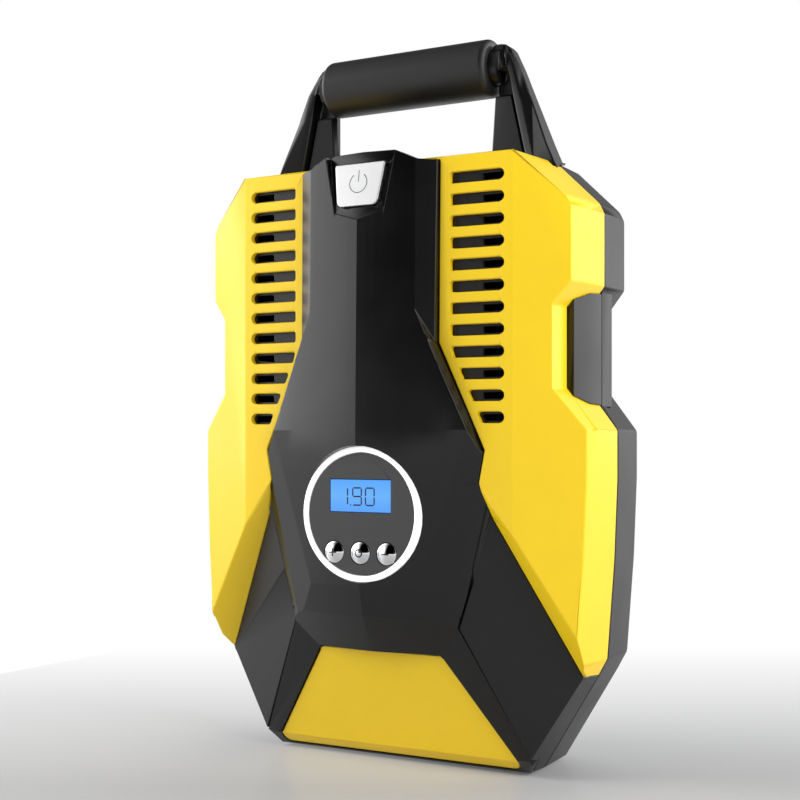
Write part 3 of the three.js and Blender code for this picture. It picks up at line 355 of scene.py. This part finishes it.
def make_materials():
    looks = {
        "yellow": moulded_plastic("yellow_plastic", (0.93, 0.635, 0.012), 0.34, grain=0.14),
        "inlay": moulded_plastic("inlay_plastic", (0.9, 0.61, 0.014), 0.34, grain=0.14),
        "case": moulded_plastic("black_plastic", (0.006, 0.006, 0.0065), 0.36, grain=0.3),
        "fascia": moulded_plastic("fascia_plastic", (0.0026, 0.0026, 0.0028), 0.23, grain=0.1),
        "handle": moulded_plastic("handle_plastic", (0.005, 0.005, 0.0055), 0.31, grain=0.16),
        "dial": moulded_plastic("dial_plastic", (0.045, 0.045, 0.047), 0.34, grain=0.12),
        "inner": moulded_plastic("inner_plastic", (0.02, 0.02, 0.021), 0.5, grain=0.3),
        "nylon": moulded_plastic("nylon", (0.72, 0.7, 0.64), 0.45, grain=0.2),
        "board": moulded_plastic("board_laminate", (0.02, 0.13, 0.05), 0.4, grain=0.3, shade=0.25),
        "chrome": metal("chrome", (0.86, 0.87, 0.88), 0.07),
        "silver": metal("silver", (0.9, 0.9, 0.91), 0.3),
        "steel": metal("steel", (0.56, 0.57, 0.58), 0.3, brushed=(1, 12, 12)),
        "aluminium": metal("aluminium", (0.72, 0.73, 0.74), 0.38, brushed=(1, 1, 10)),
        "brass": metal("brass", (0.72, 0.52, 0.2), 0.25, brushed=(1, 12, 12)),
    }
    rubber = principled("rubber", (0.009, 0.009, 0.009), 0.44)
    add_roughness_noise(rubber, 60, 0.38, 0.5)
    add_grain(rubber, 1800, 0.3)
    looks["rubber"] = rubber
    looks["mark"] = principled("engraving", (0.12, 0.12, 0.125), 0.5)
    add_roughness_noise(looks["mark"], 300, 0.45, 0.55)
    ring = principled("ring_white", (0.9, 0.9, 0.9), 0.3)
    add_roughness_noise(ring, 80, 0.25, 0.35)
    shader_of(ring).inputs["Emission Color"].default_value = (1, 1, 1, 1)
    shader_of(ring).inputs["Emission Strength"].default_value = 0.55
    looks["ring"] = ring
    ink = principled("dark_ink", (0.006, 0.007, 0.012), 0.4)
    add_roughness_noise(ink, 300, 0.35, 0.45)
    looks["ink"] = ink
    looks["lcd"] = lcd_material()
    return looks


def lcd_material():
    """Backlit display film: blue, brighter towards the middle, under a glossy window."""
    material = principled("lcd_blue", (0.02, 0.07, 0.2), 0.12)
    nodes, links = material.node_tree.nodes, material.node_tree.links
    place = nodes.new("ShaderNodeTexCoord")
    split = nodes.new("ShaderNodeSeparateXYZ")
    links.new(place.outputs["Generated"], split.inputs["Vector"])
    ramp = nodes.new("ShaderNodeValToRGB")
    ramp.color_ramp.elements[0].color = (0.07, 0.33, 0.97, 1)
    ramp.color_ramp.elements[1].color = (0.075, 0.36, 1.0, 1)
    middle = ramp.color_ramp.elements.new(0.5)
    middle.color = (0.12, 0.42, 1.0, 1)
    links.new(split.outputs["Z"], ramp.inputs["Fac"])
    shader = shader_of(material)
    links.new(ramp.outputs["Color"], shader.inputs["Emission Color"])
    shader.inputs["Emission Strength"].default_value = 0.85
    return material


# ---------------------------------------------------------------- mesh tools
def link(mesh, name, material, body, smooth_angle=40):
    """Makes a mesh a piece on a body; with no angle given, its own sharp edges are kept."""
    mesh.materials.clear()
    mesh.materials.append(material)
    piece = bpy.data.objects.new(name, mesh)
    scene.collection.objects.link(piece)
    for polygon in mesh.polygons:
        polygon.use_smooth = True
    if smooth_angle:
        mesh.set_sharp_from_angle(angle=math.radians(smooth_angle))
    normals = piece.modifiers.new("weighted_normals", "WEIGHTED_NORMAL")
    normals.keep_sharp = True
    normals.weight = 60
    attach(piece, body)
    return piece


def node_body(node):
    bodies = frame["record"]["behaviour"]["bodies"]
    return next(body for body, members in bodies.items() if node in members)


ROUNDING_STEPS = 3
WELD = 2e-6                         # corners closer than this are one
FLAT = math.radians(0.5)            # faces that bend less than this are one flat face


def edge_angle(edge):
    return math.degrees(edge.calc_face_angle(0)) if len(edge.link_faces) == 2 else 0


def bevel(bm, width, edges):
    """Rounds edges and returns the new faces."""
    if not edges:
        return set()
    result = bmesh.ops.bevel(
        bm, geom=edges, offset=width, offset_type="OFFSET", segments=ROUNDING_STEPS, profile=0.5,
        affect="EDGES", clamp_overlap=False, loop_slide=True, miter_outer="ARC",
    )
    bm.normal_update()
    return set(result["faces"])


def every_edge(edge):
    return True


def refined(
    node, material, width, min_angle=25, min_length=0.002, sharp=4, chosen=every_edge, whole_faces=False,
):
    """Replaces a CAD node by its own shape with rounded edges; bends above `sharp` degrees stay crisp."""
    bm = bmesh.new()
    bm.from_mesh(frame["nodes"][node].data)
    bmesh.ops.remove_doubles(bm, verts=bm.verts, dist=WELD)
    if whole_faces:
        bmesh.ops.dissolve_limit(bm, angle_limit=FLAT, verts=bm.verts, edges=bm.edges)
    bm.normal_update()
    edges = [
        edge for edge in bm.edges
        if edge_angle(edge) > min_angle and edge.calc_length() > min_length and chosen(edge)
    ]
    rounded = bevel(bm, width, edges)
    for edge in bm.edges:
        crisp = edge_angle(edge) > sharp and not any(face in rounded for face in edge.link_faces)
        edge.smooth = not crisp
    mesh = bpy.data.meshes.new(node + "_fine")
    bm.to_mesh(mesh)
    bm.free()
    piece = link(mesh, node + "_fine", material, node_body(node), None)
    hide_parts(node)
    return piece


def paint_node(node, material):
    mesh_object = frame["nodes"][node]
    mesh_object.data.materials.clear()
    mesh_object.data.materials.append(material)


def at(x, y, z):
    """A place in the design's own millimetres, in the row frame."""
    return Vector((x, y, z)) * MM + Vector((0, FRAME_SHIFT_Y, 0))


def lathe(name, profile, centre, axis, material, body, steps=96, closed=True, smooth_angle=40):
    """Turns [radius, height] in mm round an axis through centre; a closed profile makes a ring."""
    bm = bmesh.new()
    turn_to = Vector((0, 0, 1)).rotation_difference(axis).to_matrix()
    rings = []
    for radius, height in profile:
        if radius < 1e-6:
            rings.append([bm.verts.new(centre + turn_to @ Vector((0, 0, height * MM)))])
            continue
        ring = []
        for k in range(steps):
            angle = 2 * math.pi * k / steps
            place = Vector((radius * MM * math.cos(angle), radius * MM * math.sin(angle), height * MM))
            ring.append(bm.verts.new(centre + turn_to @ place))
        rings.append(ring)
    pairs = list(zip(rings, rings[1:]))
    if closed:
        pairs.append((rings[-1], rings[0]))
    for low, high in pairs:
        for k in range(steps):
            following = (k + 1) % steps
            if len(low) == 1 and len(high) == 1:
                break
            if len(low) == 1:
                bm.faces.new((low[0], high[following], high[k]))
            elif len(high) == 1:
                bm.faces.new((low[k], low[following], high[0]))
            else:
                bm.faces.new((low[k], low[following], high[following], high[k]))
    bmesh.ops.recalc_face_normals(bm, faces=bm.faces)
    mesh = bpy.data.meshes.new(name)
    bm.to_mesh(mesh)
    bm.free()
    return link(mesh, name, material, body, smooth_angle)


def arc(centre_u, centre_v, radius, start, end, steps=8):
    """Points on an arc in the plane of a profile, angles in degrees."""
    points = []
    for k in range(steps + 1):
        angle = math.radians(start + (end - start) * k / steps)
        points.append((centre_u + radius * math.cos(angle), centre_v + radius * math.sin(angle)))
    return points


STROKE_SINK = 0.05                  # mm that a mark's foot lies under the face it stands on


def strokes(name, lines, width, height, origin, right, up, material, body, surface=None):
    """Flat marks on a face: each line of [u, v] in mm becomes a ribbon standing a little proud of it."""
    bm = bmesh.new()
    out = right.cross(up).normalized()
    half = width / 2

    def place(u, v, lift):
        rise = surface(u, v) if surface else 0
        return bm.verts.new(origin + (right * u + up * v + out * (lift + rise)) * MM)

    for line in lines:
        closed = line[0] == line[-1]
        points = [Vector(point) for point in (line[:-1] if closed else line)]
        count = len(points)
        sections = []
        for k, point in enumerate(points):
            before = points[k - 1] if closed or k else point
            after = points[(k + 1) % count] if closed or k + 1 < count else point
            along = (after - before).normalized()
            across = Vector((-along.y, along.x)) * half
            left_edge, right_edge = point + across, point - across
            sections.append((
                place(*left_edge, -STROKE_SINK), place(*left_edge, height),
                place(*right_edge, height), place(*right_edge, -STROKE_SINK),
            ))
        pairs = list(zip(sections, sections[1:]))
        if closed:
            pairs.append((sections[-1], sections[0]))
        else:
            bm.faces.new(sections[0])
            bm.faces.new(tuple(reversed(sections[-1])))
        for one, other in pairs:
            for k in range(4):
                following = (k + 1) % 4
                bm.faces.new((one[k], one[following], other[following], other[k]))
    bmesh.ops.recalc_face_normals(bm, faces=bm.faces)
    mesh = bpy.data.meshes.new(name)
    bm.to_mesh(mesh)
    bm.free()
    return link(mesh, name, material, body)


# ---------------------------------------------------------------- housing
ARM_FOOT = 238.0                    # the arms' edges are rounded above this height, in mm
DOOR_RIM = 2.0                      # mm round the door that counts as its opening


def away_from_door(edge):
    """True for an edge that isn't part of the door's opening, whose crisp rim stays as it is."""
    low, high = (Vector(corner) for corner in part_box("storage_door"))
    reach = DOOR_RIM * MM
    return not all(
        low.x - reach < vert.co.x < high.x + reach and low.z - reach < vert.co.z < high.z + reach
        for vert in edge.verts
    )


def above_arm_foot(edge):
    return min(vert.co.z for vert in edge.verts) > ARM_FOOT * MM


def add_housing(looks):
    for side in ("left", "right"):
        refined("side_panel_" + side, looks["yellow"], width=0.0006, min_angle=5.5, min_length=0.006)
    refined("lower_inlay", looks["inlay"], width=0.0005, min_length=0.001)
    refined("centre_cover", looks["fascia"], width=0.00035, min_length=0.004, min_angle=20)
    refined("front_shell", looks["case"], width=0.0005, min_length=0.006, min_angle=12)
    refined("rear_shell", looks["case"], width=0.0007, min_length=0.006, min_angle=12, chosen=away_from_door)
    refined("storage_door", looks["case"], width=0.0006, min_length=0.004)
    refined(
        "handle_frame", looks["handle"], width=0.0009, min_length=0.004, min_angle=12, sharp=12,
        chosen=above_arm_foot,
    )
    for side in ("left", "right"):
        refined("handle_trim_" + side, looks["handle"], width=0.0006, min_length=0.004, min_angle=12)
    for number in range(1, 5):
        refined("foot_" + str(number), looks["rubber"], width=0.0004, min_length=0.0005, sharp=40)


# ---------------------------------------------------------------- handle grip
GRIP_BORE = 7.3                     # mm, radius of the bar inside the sleeve
GRIP_RIM = 2.2                      # mm, rounding of its ends


def add_grip(looks):
    low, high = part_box("handle_grip")
    centre = (Vector(low) + Vector(high)) / 2
    radius = (high[2] - low[2]) / 2 / MM
    end = (high[0] - low[0]) / 2 / MM
    half = [(GRIP_BORE, end)]
    half += arc(radius - GRIP_RIM, end - GRIP_RIM, GRIP_RIM, 90, 0)
    profile = half + [(r, -h) for r, h in reversed(half)]
    piece = lathe("handle_grip_fine", profile, centre, Vector((1, 0, 0)), looks["rubber"], "case")
    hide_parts("handle_grip")


# ---------------------------------------------------------------- dial
# All sizes in mm.
RING_INNER = 24.1
RING_CROWN = 0.3                    # height of its rounded front, as a share of a half circle
RING_SHOULDER = 0.35
DIGIT_PLACES = (("1", -6.9, 1.2), ("9", -3.3, 3.9), ("0", 2.5, 3.9))    # digit, left edge, width
DIGIT_BOTTOM = 2.6                  # above the lower edge of the display
DIGIT_HEIGHT = 6.7
DIGIT_GAP = 0.25                    # at each end of a segment
DIGIT_STROKE = 0.56
POINT_LEFT = -4.55
POINT_SIZE = 0.5
INK_HEIGHT = 0.03
FRONT = Vector((0, -1, 0))
RIGHT = Vector((1, 0, 0))
UP = Vector((0, 0, 1))
SEGMENTS = {
    "a": ((0, 2), (1, 2)), "b": ((1, 2), (1, 1)), "c": ((1, 1), (1, 0)), "d": ((0, 0), (1, 0)),
    "e": ((0, 1), (0, 0)), "f": ((0, 2), (0, 1)), "g": ((0, 1), (1, 1)),
}
DIGITS = {"1": "bc", "9": "abcdfg", "0": "abcdef"}


def digit_lines(digit, left, width, bottom):
    lines = []
    for segment in DIGITS[digit]:
        (u0, v0), (u1, v1) = SEGMENTS[segment]
        start = Vector((left + u0 * width, bottom + v0 * DIGIT_HEIGHT / 2))
        end = Vector((left + u1 * width, bottom + v1 * DIGIT_HEIGHT / 2))
        along = (end - start).normalized() * DIGIT_GAP
        lines.append([tuple(start + along), tuple(end - along)])
    return lines


def add_ring(looks):
    low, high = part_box("led_ring")
    centre = Vector((0, low[1], (low[2] + high[2]) / 2))
    outer = (high[2] - low[2]) / 2 / MM
    depth = (high[1] - low[1]) / MM
    crown = arc((outer + RING_INNER) / 2, 0, (outer - RING_INNER) / 2, 0, 180, 10)
    crown = [(radius, rise * RING_CROWN - RING_SHOULDER) for radius, rise in crown]
    profile = [(outer, -depth)] + crown + [(RING_INNER, -depth)]
    ring = lathe("led_ring_fine", profile, centre, FRONT, looks["ring"], "case", 144)
    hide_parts("led_ring")


def add_display(looks):
    paint_node("lcd_panel", looks["lcd"])
    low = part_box("lcd_panel")[0]
    face = Vector((0, low[1], 0))
    bottom = low[2] / MM + DIGIT_BOTTOM
    lines = []
    for digit, left, width in DIGIT_PLACES:
        lines += digit_lines(digit, left, width, bottom)
    point = [[(POINT_LEFT, bottom), (POINT_LEFT + POINT_SIZE, bottom)]]
    marks = (("lcd_digits", lines, DIGIT_STROKE), ("lcd_point", point, POINT_SIZE))
    for name, marked, width in marks:
        piece = strokes(name, marked, width, INK_HEIGHT, face, RIGHT, UP, looks["ink"], "case")


def add_dial(looks):
    add_ring(looks)
    refined("dial_plate", looks["dial"], width=0.0002, min_length=0.0004, min_angle=60, sharp=40)
    add_display(looks)


def straight(start, end, parts=10):
    """A straight line in short steps, so that it can follow a dome."""
    first, last = Vector(start), Vector(end)
    return [tuple(first.lerp(last, k / parts)) for k in range(parts + 1)]


def circle(radius, start=0, end=360, parts=32):
    return [(round(u, 4), round(v, 4)) for u, v in arc(0, 0, radius, start, end, parts)]


KEY_RADIUS = 4.3
KEY_CROWN = 1.75                    # how far the edge lies behind the middle
KEY_RIM = 0.35                      # rounding of the edge
KEY_RIM_DEPTH = 0.3
KEY_DEPTH = 3.2
DOME_STEPS = 14
MARK_REACH = 1.6                    # half the length of a plus or minus
MARK_RING = 1.4
MARK_STROKE = 0.55
MARK_HEIGHT = 0.02
KEY_MARKS = {
    "plus": [straight((-MARK_REACH, 0), (MARK_REACH, 0)), straight((0, -MARK_REACH), (0, MARK_REACH))],
    "unit": [circle(MARK_RING)],
    "minus": [straight((-MARK_REACH, 0), (MARK_REACH, 0))],
}


def dome_rise(u, v):
    """Height of the domed face of a key at [u, v] from its middle."""
    return -KEY_CROWN * (u * u + v * v) / (KEY_RADIUS * KEY_RADIUS)


def dome_profile():
    flat = KEY_RADIUS - KEY_RIM
    profile = [(0, 0)]
    for k in range(1, DOME_STEPS + 1):
        radius = flat * k / DOME_STEPS
        profile.append((radius, dome_rise(radius, 0)))
    profile += arc(flat, dome_rise(flat, 0) - KEY_RIM_DEPTH, KEY_RIM, 60, 0, 4)
    return profile + [(KEY_RADIUS, -KEY_DEPTH), (0, -KEY_DEPTH)]


def add_keys(looks):
    for name, lines in KEY_MARKS.items():
        node = "key_" + name
        low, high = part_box(node)
        centre = Vector(((low[0] + high[0]) / 2, low[1], (low[2] + high[2]) / 2))
        body = node_body(node)
        dome = lathe(
            node + "_dome", dome_profile(), centre, FRONT, looks["chrome"], body, 64,
            closed=False, smooth_angle=50,
        )
        mark = strokes(
            node + "_mark", lines, MARK_STROKE, MARK_HEIGHT, centre, RIGHT, UP, looks["ink"], body, dome_rise,
        )
        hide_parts(node)


# ---------------------------------------------------------------- power key
# All sizes in mm.
POWER_DEPTH = 4.0                   # behind its foremost point, where its face ends
POWER_FACE_TOP = (0, -31.1, 237.4)  # in the design's own depth
POWER_FACE_LOW = (0, -33.4, 222.6)
POWER_MARK_PLACE = 0.47             # along the face, from its lower edge
POWER_RING = 3.9
POWER_RING_GAP = (125, 415)         # degrees; the ring is open at the top
POWER_BAR = (0.5, 5.0)
POWER_STROKE = 0.36


def on_power_face(edge):
    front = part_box("power_button")[0][1] + POWER_DEPTH * MM
    return max(vert.co.y for vert in edge.verts) < front


def add_power_key(looks):
    refined(
        "power_button", looks["silver"], width=0.0004, min_angle=60, min_length=0, sharp=30,
        chosen=on_power_face, whole_faces=True,
    )
    top, low = at(*POWER_FACE_TOP), at(*POWER_FACE_LOW)
    up = (top - low).normalized()
    middle = low + (top - low) * POWER_MARK_PLACE
    bar = [(0, POWER_BAR[0]), (0, POWER_BAR[1])]
    lines = [circle(POWER_RING, *POWER_RING_GAP), bar]
    mark = strokes(
        "power_mark", lines, POWER_STROKE, MARK_HEIGHT, middle, RIGHT, up, looks["mark"], "power_key",
    )


# ---------------------------------------------------------------- the rest
NODE_LOOKS = {
    "inner": ("display_cup", "display_module", "power_switch", "cooling_fan", "pressure_sensor"),
    "board": ("display_board", "control_board"),
    "steel": (
        "motor", "crank_pin", "connecting_rod", "door_hinge_pin",
        *("case_screw_" + str(number) for number in range(1, 7)),
    ),
    "nylon": ("crank_gear",),
    "brass": ("gear_bushing", "hose_fitting", "motor_rotor"),
    "aluminium": ("pump_bracket", "piston", "cylinder", "cylinder_head"),
    "rubber": ("cord_gland",),
}


def main():
    scene.view_settings.view_transform = "Standard"
    add_camera()
    add_studio()
    looks = make_materials()
    add_floor()
    add_housing(looks)
    add_grip(looks)
    add_dial(looks)
    add_keys(looks)
    add_power_key(looks)
    for look, nodes in NODE_LOOKS.items():
        for node in nodes:
            paint_node(node, looks[look])


main()
bpy.context.view_layer.update()
